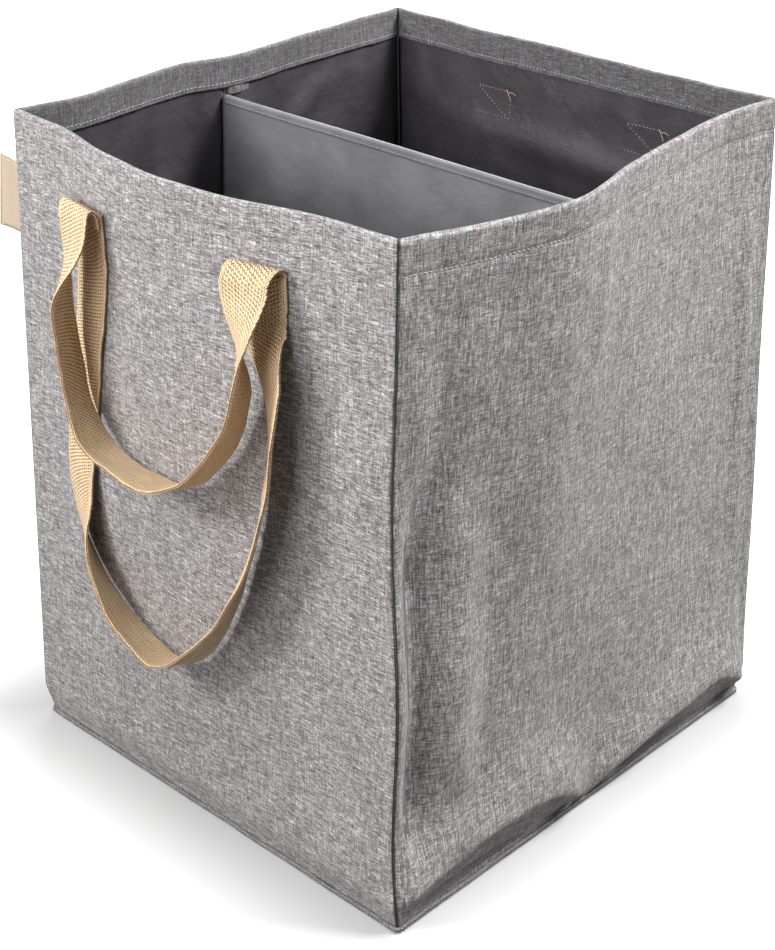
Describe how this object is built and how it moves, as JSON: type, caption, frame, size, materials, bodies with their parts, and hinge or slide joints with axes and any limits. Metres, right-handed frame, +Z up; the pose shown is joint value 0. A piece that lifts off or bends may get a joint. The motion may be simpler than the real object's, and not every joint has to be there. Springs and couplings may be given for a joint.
{
  "type": "laundry hamper",
  "caption": "Tall soft laundry hamper of padded melange cloth with a divider that makes two bins, a dark lining, and short and long webbing handles on the front and the back.",
  "frame": {"origin": "the middle of the underside of the cloth base, on the floor", "axes": "+Z up; the front wall faces -Y and the back wall +Y; the divider runs along X, with the front bin before it and the back bin behind it; the tag is in the front left corner, at -X"},
  "size_m": [0.4367, 0.5097, 0.516],
  "materials": {
    "melange_cloth": "matt",
    "padding": "matt",
    "lining": "satin",
    "divider_cloth": "satin",
    "base_board": "matt",
    "webbing": "matt",
    "tag_cloth": "matt"
  },
  "bodies": {
    "bag": {"outer_wall_front": "melange_cloth", "outer_wall_right": "melange_cloth", "outer_wall_back": "melange_cloth", "outer_wall_left": "melange_cloth", "outer_base": "melange_cloth", "bottom_seam": "melange_cloth", "divider_tab_left": "melange_cloth", "divider_tab_right": "melange_cloth", "stiffener_front": "padding", "stiffener_back": "padding", "stiffener_right_front_bin": "padding", "stiffener_right_back_bin": "padding", "stiffener_left_front_bin": "padding", "stiffener_left_back_bin": "padding", "divider_core": "padding", "lining_front": "lining", "lining_back": "lining", "lining_right_front_bin": "lining", "lining_right_back_bin": "lining", "lining_left_front_bin": "lining", "lining_left_back_bin": "lining", "lining_floor_front_bin": "lining", "lining_floor_back_bin": "lining", "divider_skin_front": "divider_cloth", "divider_skin_back": "divider_cloth", "divider_top_binding": "divider_cloth", "corner_binding_front_right": "divider_cloth", "corner_binding_right_back": "divider_cloth", "corner_binding_back_left": "divider_cloth", "corner_binding_left_front": "divider_cloth", "base_board_front_bin": "base_board", "base_board_back_bin": "base_board", "anchor_patch_front_left": "webbing", "anchor_patch_front_right": "webbing", "anchor_patch_back_left": "webbing", "anchor_patch_back_right": "webbing", "tag": "tag_cloth"},
    "handle_front_long": {"handle_front_long": "webbing"},
    "handle_front_short": {"handle_front_short": "webbing"},
    "handle_back_long": {"handle_back_long": "webbing"},
    "handle_back_short": {"handle_back_short": "webbing"}
  },
  "joints": [
    {"name": "front_long_handle_lift", "type": "hinge", "parent": "bag", "child": "handle_front_long", "pos_m": [0, -0.2279, 0.445], "axis": [-1, 0, 0], "range_deg": [0, 145]},
    {"name": "front_short_handle_lift", "type": "hinge", "parent": "bag", "child": "handle_front_short", "pos_m": [0, -0.2293, 0.472], "axis": [-1, 0, 0], "range_deg": [0, 145]},
    {"name": "back_long_handle_lift", "type": "hinge", "parent": "bag", "child": "handle_back_long", "pos_m": [0, 0.2086, 0.445], "axis": [1, 0, 0], "range_deg": [0, 145]},
    {"name": "back_short_handle_lift", "type": "hinge", "parent": "bag", "child": "handle_back_short", "pos_m": [0, 0.2089, 0.472], "axis": [1, 0, 0], "range_deg": [0, 145]}
  ],
  "couplings": [
    {"joint": "front_short_handle_lift", "follows": "front_long_handle_lift", "ratio": 1},
    {"joint": "back_short_handle_lift", "follows": "back_long_handle_lift", "ratio": 1}
  ]
}
